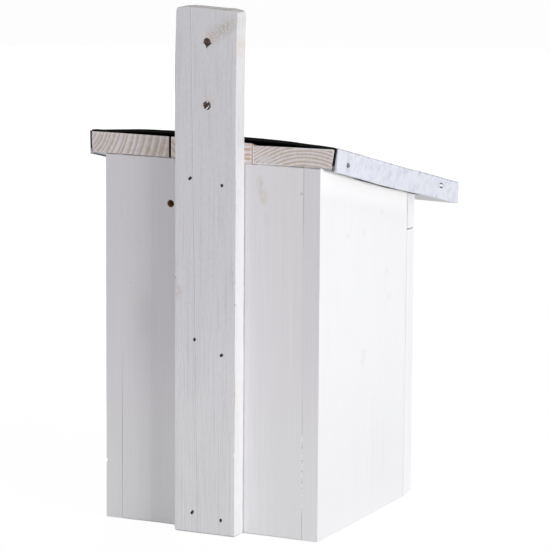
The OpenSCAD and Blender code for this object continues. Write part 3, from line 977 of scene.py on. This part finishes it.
def make_batten(finish):
    low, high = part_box("mounting_batten")
    piece = block("batten_board", low, high)
    for end, side, radius in ((high.z, RIGHT, 2.4), (high.z, LEFT, 2.6),
                              (low.z, RIGHT, 2), (low.z, LEFT, 0.9)):
        round_off(piece, radius, lambda p, n: abs(n.y) > 0.9 and abs(p.z - end) < TINY
                  and (p.x - BATTEN_X) * side > 0)
    ease(piece, 0.4)
    divide(piece, x=4, z=5)
    with editing(piece):
        # The sawn top is a little crowned, and lowest at its outer corner.
        for x, drop, reach in ((high.x, 0.6, 6), (low.x, 1.3, 38)):
            move(lambda p: abs(p.x - x) < 3 * MM and p.z > high.z - 3 * MM, (0, 0, -drop), reach)
        # Its top end leans a little to its left, and it bows the other way above the roof.
        move(lambda p: p.z > high.z - 12 * MM, (-0.8, 0, 0), 110)
        move(lambda p: abs(p.z - 322 * MM) < 22 * MM, (0.6, 0, 0), 40)
        # The hidden corner of the top is knocked off.
        hidden = Vector((low.x, low.y, high.z))
        move(lambda p: (p - hidden).length < 2 * MM, (0.5, 0, -0.7), 6)
    make_uneven(piece, 16, 0.45)
    make_uneven(piece, 60, 0.5, direction="X")
    holes = []
    for i, centre in enumerate(HANG_HOLES):
        hole = bar("hole", centre + mm(0, 2, 0), centre - mm(0, 18, 0), HANG_HOLE_R, sides=22)
        with editing(hole):
            roughen(0.5, 5 + i)
        holes.append(hole)
    for x, z, radius in ((0.3, -3.3, 0.7), (-3.1, -0.7, 0.6)):
        tear = HANG_HOLES[0] + mm(x, 0, z)
        holes.append(bar("tear", tear + mm(0, 2, 0), tear - mm(0, 3, 0), radius, sides=7))
    inward = mm(0, -3, 0)
    for x, z, torn in BATTEN_NAILS:
        tilt = mm(torn[0], 0, torn[1])
        centre = Vector((BATTEN_X + x * MM, BATTEN_FACE_Y, z * MM))
        for at in (centre + tilt, centre - tilt):
            holes.append(bar("hole", at - inward, at + inward, 1.12, sides=10))
    carve(piece, *holes)
    smooth(piece)
    settle(piece, finish, "mounting_batten")


FLAKES = (  # hanging hole, from and to off its middle, and width, in mm
    (0, (3.3, -1.8), (0.9, -3.0), 1.9), (0, (-3.2, -2.1), (-0.8, -3.0), 1.7),
    (1, (-0.9, 3.6), (0.3, 1.9), 1.5), (1, (1.5, -3.6), (-1.7, -0.1), 1.4),
)


def make_splinters(finish):
    """Flakes of paint and wood that hang across the mouths of the hanging holes."""
    pieces = []
    for i, (hole, start, end, width) in enumerate(FLAKES):
        at = HANG_HOLES[hole] - mm(0, 0.35, 0)
        start, end = (at + mm(x, 0, z) for x, z in (start, end))
        flake = bar("flake", start, end, width / 2, sides=6)
        with editing(flake):
            pick("VERT", lambda p: (p - end).length < (p - start).length)
            bpy.ops.transform.resize(value=(0.4, 0.4, 0.4), center_override=end)
            pick_all()
            bpy.ops.transform.resize(value=(1, 0.35, 1), center_override=at)
            bpy.ops.mesh.subdivide(number_cuts=2)
            roughen(0.08, i)
        pieces.append(flake)
    piece = join("hanging_hole_splinters", pieces)
    smooth(piece)
    piece.data.materials.append(finish)
    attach(piece, "box")


BOARD_SHIFTS = {  # mm up, of the underside at its left and right edges, then of the top
    "roof_board_left": ((1.2, 0.3), (0, -1.3)),
    "roof_board_middle": ((0.1, 0.8), (0, 0.9)),
    "roof_board_right": ((0.7, 0.7), (0.9, 0.8)),
}
FRONT_DROPS = {"roof_board_left": (2.8, 1.0)}  # mm, where it isn't the same at both edges
OUTER_BULGES = (1.0, 1.5, 1.7, 1.7, 1.6, 1.4)  # mm, of the right board, from its underside up


def make_roof_board(name, finish):
    low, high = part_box(name)
    piece = block(name + "_plank", (low.x, -ROOF_RUN - 2 * ROOF_T, 0),
                  (high.x, 2 * ROOF_T, ROOF_T))
    with editing(piece):
        for side in (LEFT, RIGHT):
            edge = side * ROOF_HALF
            move(lambda p: abs(p.x - edge) < TINY and p.z < TINY, (-side * ROOF_LEAN[side], 0, 0))
        # None of the boards is quite true.
        for z, shifts in zip((0, ROOF_T), BOARD_SHIFTS[name]):
            for x, shift in zip((low.x, high.x), shifts):
                move(lambda p: abs(p.x - x) < 2 * MM and abs(p.z - z) < 0.1 * MM, (0, 0, shift))
        for x, drop in zip((low.x, high.x), FRONT_DROPS.get(name, (1.3, 1.3))):
            move(lambda p: abs(p.x - x) < 2 * MM and p.z < 3 * MM and p.y < -ROOF_RUN,
                 (0, 0, -drop))
        move(lambda p: p.z > ROOF_T - 3 * MM and p.y < -ROOF_RUN, (0, 0, -ROOF_DIP))
        if name == "roof_board_left":
            move(lambda p: p.x < -ROOF_HALF + TINY and p.z > ROOF_T / 2, (-0.7, 0, 0))
            move(lambda p: p.x > high.x - 2 * MM, (0.2, 0, 0))
    if name == "roof_board_right":
        # Its outer edge is swollen, and planed a little round.
        divide(piece, z=3)
        with editing(piece):
            for level, bulge in enumerate(OUTER_BULGES):
                move(lambda p: p.x > ROOF_HALF - 2 * MM
                     and abs(p.z - level * ROOF_T / 5) < 1.2 * MM, (bulge, 0, 0))
    trim_to_roof(piece)
    ease(piece, 0.6)
    weather(piece, 22, 0.3, x=8, y=8)
    settle(piece, finish, name)


def make_felt(finish):
    half = ROOF_HALF + LAYER_GAP + FELT_T
    level = ROOF_T + LAYER_GAP + 1 * MM
    length = ROOF_RUN + 2 * ROOF_T
    columns, flap_rows = 40, 3
    piece = primitive(bpy.ops.mesh.primitive_grid_add, "felt_sheet", x_subdivisions=columns,
                      y_subdivisions=48, size=1, location=(0, ROOF_T - length / 2, level))
    piece.scale = (2 * half, length, 1)
    set_in_place(piece)
    with editing(piece):
        # It is arched a little off the boards, and lies higher towards the right.
        for column in range(1, columns):
            x = half * (column / (columns / 2) - 1)
            arch = 3.2 * (1 - (x / half) ** 2)
            move(lambda p: abs(p.x - x) < TINY,
                 (0, 0, arch + max(0, min(x / MM + 20, 55)) * 0.017))
        move(lambda p: abs(p.x - half) < TINY, (0, 0, 0.8))
        for side in (LEFT, RIGHT):
            step = 13.2 * MM / flap_rows
            pick("EDGE", lambda p, n: abs(p.x - side * half) < TINY)
            for _ in range(flap_rows):
                bpy.ops.mesh.extrude_edges_move(TRANSFORM_OT_translate={
                    "value": (-side * FLAP_LEAN[side] * step / ROOF_T, 0, -step)})
        # The left edge sags a little half way down the fall.
        move(lambda p: p.x < -half + 1 * MM and abs(p.y + 130 * MM) < 20 * MM, (0, 0, -0.8), 130)
        # The right board is swollen and has pushed its flap out.
        move(lambda p: p.x > half - 0.6 * MM, (RIGHT_SWELL, 0, 0))
        for side in (LEFT, RIGHT):
            pick("EDGE", lambda p, n: abs(p.x - side * half) < 0.4 * MM and abs(n.y) > 0.9
                 and abs(p.z - level) < 1 * MM)
            bpy.ops.mesh.bevel(offset=2 * MM, segments=5, affect="EDGES")
        pick("VERT", lambda p: p.y < ROOF_T - length + TINY)
        bpy.ops.transform.translate(
            value=(0, 0, -ROOF_DIP * MM), use_proportional_edit=True,
            proportional_edit_falloff="LINEAR", proportional_size=length)
        pick_all()
        bpy.ops.mesh.normals_make_consistent(inside=False)
        if sum(face.normal.z for face in bmesh.from_edit_mesh(piece.data).faces) < 0:
            bpy.ops.mesh.flip_normals()

    def group(name, parts):
        """Adds a group of verts: each part is a test and its weight."""
        found = piece.vertex_groups.new(name=name)
        for test, weight in parts:
            found.add([v.index for v in piece.data.vertices if test(v.co)], weight, "REPLACE")

    group("top", [(lambda p: abs(p.x) < half - 5 * MM, 1)])
    make_uneven(piece, 28, 1.1, direction="Z", group="top")
    # The flaps are pressed thin between the boards and the strips, the right one most of all.
    group("full", [(lambda p: p.x < half - 2 * MM, 1),
                   (lambda p: p.x < 0 and p.z < level - 2 * MM, 0.53)])
    apply_modifier(piece, "SOLIDIFY", thickness=FELT_T, offset=-1, use_even_offset=True,
                   vertex_group="full", thickness_vertex_group=0.12)
    trim_to_roof(piece)
    # A frayed wad of felt is left at the foot of the left flap's back end.
    wad = primitive(bpy.ops.mesh.primitive_ico_sphere_add, "wad", subdivisions=3, radius=1,
                    location=roof_point(-ROOF_HALF + 1 * MM, 1.2 * MM, 1.3 * MM))
    wad.scale = mm(1.1, 1.1, 1.9)
    set_in_place(wad)
    make_uneven(wad, 1, 0.6)
    piece = join("felt_sheet", [piece, wad])
    smooth(piece, 40)
    settle(piece, finish, "roof_felt")


def roof_point(x, down, square):
    """A point given by the roof's own directions."""
    return ROOF_PLACE @ Vector((x, -down, square))


def strip_lean(side, down):
    """How far a strip's outer face leans in over the boards' thickness."""
    back, front = STRIP_LEAN[side]
    return back + (front - back) * down / ROOF_RUN


def strip_x(side, square, out, down):
    """How far out a strip's sheet stands at a height over the boards' underside."""
    swell = RIGHT_SWELL * MM if side == RIGHT else 0
    sheet = ROOF_HALF + FELT_T + 2 * LAYER_GAP + swell + out
    return sheet - strip_lean(side, down) * (1 - square / ROOF_T)


def make_strip(side, finish):
    name = "edge_strip_" + WORD[side]
    low, high = -2 * ROOF_T, 2 * ROOF_T
    back, front = ROOF_T, -ROOF_RUN
    inner = strip_x(side, ROOF_T, 0, 0)
    xs = sorted((side * inner, side * (inner + STRIP_T)))
    piece = block(name + "_sheet", (xs[0], front, low), (xs[1], back, high))
    with editing(piece):
        # Its outer face leans in a little, its inner face follows the felt.
        for end in (back, front):
            for face_x, lean in zip((inner, inner + STRIP_T),
                                    (FLAP_LEAN[side], strip_lean(side, -end))):
                for level in (low, high):
                    move(lambda p: abs(p.z - level) < TINY and abs(p.y - end) < TINY
                         and abs(abs(p.x) - face_x) < TINY,
                         (-side * lean * (1 - level / ROOF_T) / MM, 0, 0))
    for normal, (at_back, at_front) in ((1, STRIP_TOP), (-1, STRIP_FOOT[side])):
        tilt = (at_back - at_front) / ROOF_RUN
        trim(piece, (0, 0, at_back), (0, -tilt * normal, normal))
    divide(piece, y=3.5, z=2.5)
    with editing(piece):
        if side == LEFT:
            # Between its nails its top stands a little higher, and its foot sags.
            move(lambda p: abs(p.y + 100 * MM) < 15 * MM, (0, 0, 0.35), 45)
            move(lambda p: abs(p.y + 100 * MM) < 22 * MM and p.z < 1 * MM, (0, 0, -0.95), 44)
        for down, square in CLOUTS:
            # Each nail has pulled the sheet in a little.
            move(lambda p: abs(p.y + down) < 2.5 * MM and abs(p.z - square) < 2.2 * MM,
                 (-side * 0.35, 0, 0), 8)
    make_uneven(piece, 26, 0.7, direction="X")
    make_uneven(piece, 14, 0.4, direction="Z")
    # The left strip starts just short of the felt's end.
    trim_to_roof(piece, back_gap=1.8 if side == LEFT else 0)
    smooth(piece, 40)
    settle(piece, finish, name)


def with_shank(head, start, end, radius):
    """A nail's or a screw's head, smoothed, and the shank behind it."""
    smooth(head, 28)
    return [head, bar("shank", start, end, radius, sides=16)]


def make_clout(side, down, square, turn):
    """A flat-headed nail through a strip, driven a little askew."""
    face = roof_point(side * strip_x(side, square, STRIP_T * 0.4, down), down, square)
    skew = Vector((0, 0.07 * turn, 0.05 * turn))
    axis = ROOF_PLACE.to_3x3() @ Vector((side, 0, -strip_lean(side, down) / ROOF_T)) + skew
    axis.normalize()
    head = bar("clout", face - axis * 0.2 * MM, face + axis * 0.55 * MM,
               1.75 if turn > 0 else 1.2, sides=24)
    with editing(head):
        pick("FACE", lambda p, n: n.dot(axis) > 0.9)
        for inset, rise in ((0.3, 0.2), (0.45, 0.08)):
            bpy.ops.mesh.inset(thickness=inset * MM)
            push(axis * rise)
        roughen(0.06, turn + 4)
    return with_shank(head, face - axis * 14 * MM, face, 0.8)


def make_strip_nails(side, finish):
    name = "strip_nails_" + WORD[side]
    parts = []
    for (down, square), turn in zip(CLOUTS, (-1, 1)):
        parts += make_clout(side, down, square, turn)
    settle(join(name + "_clouts", parts), finish, name)


def make_batten_nails(finish):
    parts = []
    low_y, high_y = (c.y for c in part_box("batten_nails"))
    for x, z, _ in BATTEN_NAILS:
        ends = (Vector((BATTEN_X + x * MM, y, z * MM)) for y in (low_y, high_y))
        parts.append(bar("nail", *ends, 0.95, sides=16))
    piece = join("sunk_batten_nails", parts)
    ease(piece, 0.2)
    smooth(piece)
    settle(piece, finish, "batten_nails")


def make_header_nails(finish):
    low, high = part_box("header_nails")
    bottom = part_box("front_header")[0].z
    head_r, rises = 1.5, (7 * MM, 17 * MM)
    parts = []
    for x in (low.x + head_r * MM, high.x - head_r * MM):
        for rise in rises:
            at = Vector((x, FACE_Y, bottom + rise))
            head = bar("head", at + mm(0, 0.6, 0), at, head_r, sides=20)
            with editing(head):
                pick("FACE", lambda p, n: n.y < -0.9)
                bpy.ops.mesh.inset(thickness=0.5 * MM)
                push((0, -0.12, 0))
            parts += with_shank(head, at + mm(0, 0.5, 0), Vector((x, high.y, at.z)), 1)
    settle(join("header_nail_heads", parts), finish, "header_nails")


def make_screw(seat, slot_turn):
    """A round-headed wood screw with a slot, on its seat on the leaf."""
    head = bar("screw_head", seat, seat - Vector((0, 0.45 * MM, 0)), 2.2, sides=28)
    with editing(head):
        pick("FACE", lambda p, n: n.y < -0.9)
        for inset, rise in ((0.5, 0.24), (0.6, 0.16)):
            bpy.ops.mesh.inset(thickness=inset * MM)
            push((0, -rise, 0))
    slot = block("slot", (-3 * MM, -0.5 * MM, -0.35 * MM), (3 * MM, 0.5 * MM, 0.35 * MM))
    slot.rotation_euler = (0, math.radians(slot_turn), 0)
    slot.location = seat - Vector((0, 0.95 * MM, 0))
    carve(head, set_in_place(slot))
    return with_shank(head, seat - Vector((0, 0.2 * MM, 0)), seat + Vector((0, 9 * MM, 0)), 1.2)


SCREW_DX, SCREW_RISE = 7.5 * MM, 9.5 * MM  # off the pin's middle
SLOT_TURNS = {"door": (35, 110), "fixed": (70, 160)}  # degrees


def make_hinge(side, finish, pin_finish):
    word = WORD[side]
    pin_low, pin_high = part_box(f"hinge_{word}_pin")
    pin = (pin_low + pin_high) / 2
    third, gap, pin_r = (pin_high.x - pin_low.x) / 3, 0.3 * MM, 0.9
    middle = ((pin_low.x + third + gap, pin_high.x - third - gap),)
    outer = ((pin_low.x, pin_low.x + third), (pin_high.x - third, pin_high.x))
    near = 2 * MM  # from the pin's middle to a leaf's edge
    for kind, body, up, spans in (("fixed", "box", 1, outer), ("door", "door", -1, middle)):
        node = f"hinge_{word}_{kind}_leaf"
        low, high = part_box(node)
        far = high.z if up > 0 else low.z
        zs = sorted((pin.z + up * near, far))
        leaf = block(f"{word}_{kind}_leaf", (pin_low.x, FACE_Y - LEAF_T, zs[0]),
                     (pin_high.x, FACE_Y, zs[1]))
        round_off(leaf, 2.5, lambda p, n: abs(n.y) > 0.9 and abs(p.z - far) < TINY)
        for start, end in spans:
            arm = sorted((pin.z, pin.z + up * (near + 0.4 * MM)))
            carve(leaf,
                  block("arm", (start, FACE_Y - LEAF_T, arm[0]), (end, FACE_Y, arm[1])),
                  bar("knuckle", (start, pin.y, pin.z), (end, pin.y, pin.z), 1.7, sides=28),
                  operation="UNION")
        carve(leaf, bar("bore", (low.x - MM, pin.y, pin.z), (high.x + MM, pin.y, pin.z), 0.95))
        screw_z = pin.z + up * SCREW_RISE
        screws = []
        for dx in (-SCREW_DX, SCREW_DX):
            carve(leaf, bar("screw_hole", (pin.x + dx, FACE_Y - 3 * MM, screw_z),
                            (pin.x + dx, FACE_Y + MM, screw_z), 1.35, sides=24))
        ease(leaf, 0.18)
        smooth(leaf)
        settle(leaf, finish, node, body=body)
        for dx, turn in zip((-SCREW_DX, SCREW_DX), SLOT_TURNS[kind]):
            screws += make_screw(Vector((pin.x + dx, FACE_Y - LEAF_T, screw_z)), turn + side * 14)
        settle(join(f"{word}_{kind}_screws", screws), finish, f"hinge_{word}_{kind}_screws",
               body=body)
    rod = bar(f"{word}_hinge_pin", pin_low + mm(0.1, pin_r, pin_r),
              Vector((pin_high.x - 0.1 * MM, pin.y, pin.z)), pin_r, sides=24)
    ease(rod, 0.3)
    smooth(rod)
    settle(rod, pin_finish, f"hinge_{word}_pin")


# ---- Assembly ----

walls = wall_finishes()
for hand in (LEFT, RIGHT):
    make_side_panel(hand, walls[WORD[hand]])
make_back_panel(walls["back"])
make_header(walls["header"])
make_door(walls["door"])
make_floor(floor_finish())
make_batten(walls["batten"])
make_splinters(painted("paint_flakes", "xyz", (40, 90), 2.5))
for board, pith, ring, widening, rim_paint in (
    ("left", (-77, -58), 7.9, -0.0063, 0.9),
    ("middle", (-27, 64), 3.4, 0, 0.8),
    ("right", (116, 26), 1.4, 0.0129, 0.25),
):
    node = "roof_board_" + board
    make_roof_board(node, roof_finish(node, "wash_" + board, pith, ring, widening, rim_paint))
make_felt(felt_finish())
zinc = zinc_finish()
clout_steel = nail_finish("clout_steel", (250, 250, 252), (206, 204, 206), marks=nail_head_rings)
for hand in (LEFT, RIGHT):
    make_strip(hand, zinc)
    make_strip_nails(hand, clout_steel)
# The sunk nail heads are near black, which paints the shade in their holes.
make_batten_nails(nail_finish("sunk_steel_shade", (24, 20, 19), (14, 12, 11), metallic=0.2))
make_header_nails(nail_finish("painted_heads", (214, 212, 210), (180, 174, 168)))
plate = plate_finish()
pin_steel = nail_finish("pin_steel", (150, 148, 144), (96, 92, 88))
for hand in (LEFT, RIGHT):
    make_hinge(hand, plate, pin_steel)


# ---- Floor and light ----

def make_stage():
    """A pale floor that keeps the box's shadow."""
    floor = primitive(bpy.ops.mesh.primitive_plane_add, "floor_sweep", size=24,
                      location=(0, 0, -0.3 * MM))
    f = Finish("white_floor")
    seen = f.node("LightPath", out="Is Camera Ray")
    seen = seen + seen.sibling("Is Glossy Ray") + seen.sibling("Is Transmission Ray")
    white = f.node("Emission", sockets={"Color": (1, 1, 1, 1), "Strength": 1.08})
    lit = f.node("BsdfDiffuse", sockets={"Color": (0.86, 0.86, 0.87, 1)})
    both = f.node("MixShader", sockets={0: f.maths("MINIMUM", seen, 1) * 0.85, 1: lit, 2: white})
    f.node("OutputMaterial", sockets={"Surface": both})
    floor.data.materials.append(f.material)


def set_world(ambient):
    """White to the camera and to reflections, and dimmer as a light."""
    world = bpy.data.worlds.new("white_room")
    bpy.context.scene.world = world
    world.use_nodes = True
    nodes, links = world.node_tree.nodes, world.node_tree.links
    nodes.clear()
    path = nodes.new("ShaderNodeLightPath")
    seen = nodes.new("ShaderNodeMath")
    seen.operation = "MAXIMUM"
    links.new(path.outputs["Is Camera Ray"], seen.inputs[0])
    links.new(path.outputs["Is Glossy Ray"], seen.inputs[1])
    strength = nodes.new("ShaderNodeMapRange")
    strength.inputs["To Min"].default_value = ambient
    strength.inputs["To Max"].default_value = 1.0
    links.new(seen.outputs[0], strength.inputs["Value"])
    sky = nodes.new("ShaderNodeBackground")
    sky.inputs["Color"].default_value = (1, 1, 1, 1)
    links.new(strength.outputs[0], sky.inputs["Strength"])
    links.new(sky.outputs[0], nodes.new("ShaderNodeOutputWorld").inputs["Surface"])


def add_lamp(name, place, width, height, power):
    """A soft lamp that is aimed at the middle of the box."""
    lamp = bpy.data.lights.new(name, "AREA")
    lamp.shape = "ELLIPSE"
    lamp.size, lamp.size_y = width, height
    lamp.energy = power
    holder = bpy.data.objects.new(name, lamp)
    bpy.context.scene.collection.objects.link(holder)
    place, target = Vector(place), Vector((0, 0, 0.18))
    aim = (target - place).to_track_quat("-Z", "Y").to_matrix().to_4x4()
    holder.matrix_world = Matrix.Translation(place) @ aim


make_stage()
set_world(ambient=0.515)
add_lamp("key", (-2.8, 0.93, 0.34), 1.5, 0.5, 46)
add_lamp("front_fill", (1.3, -2.6, 0.9), 1.6, 1.2, 20)

bpy.context.scene.view_settings.view_transform = "Standard"
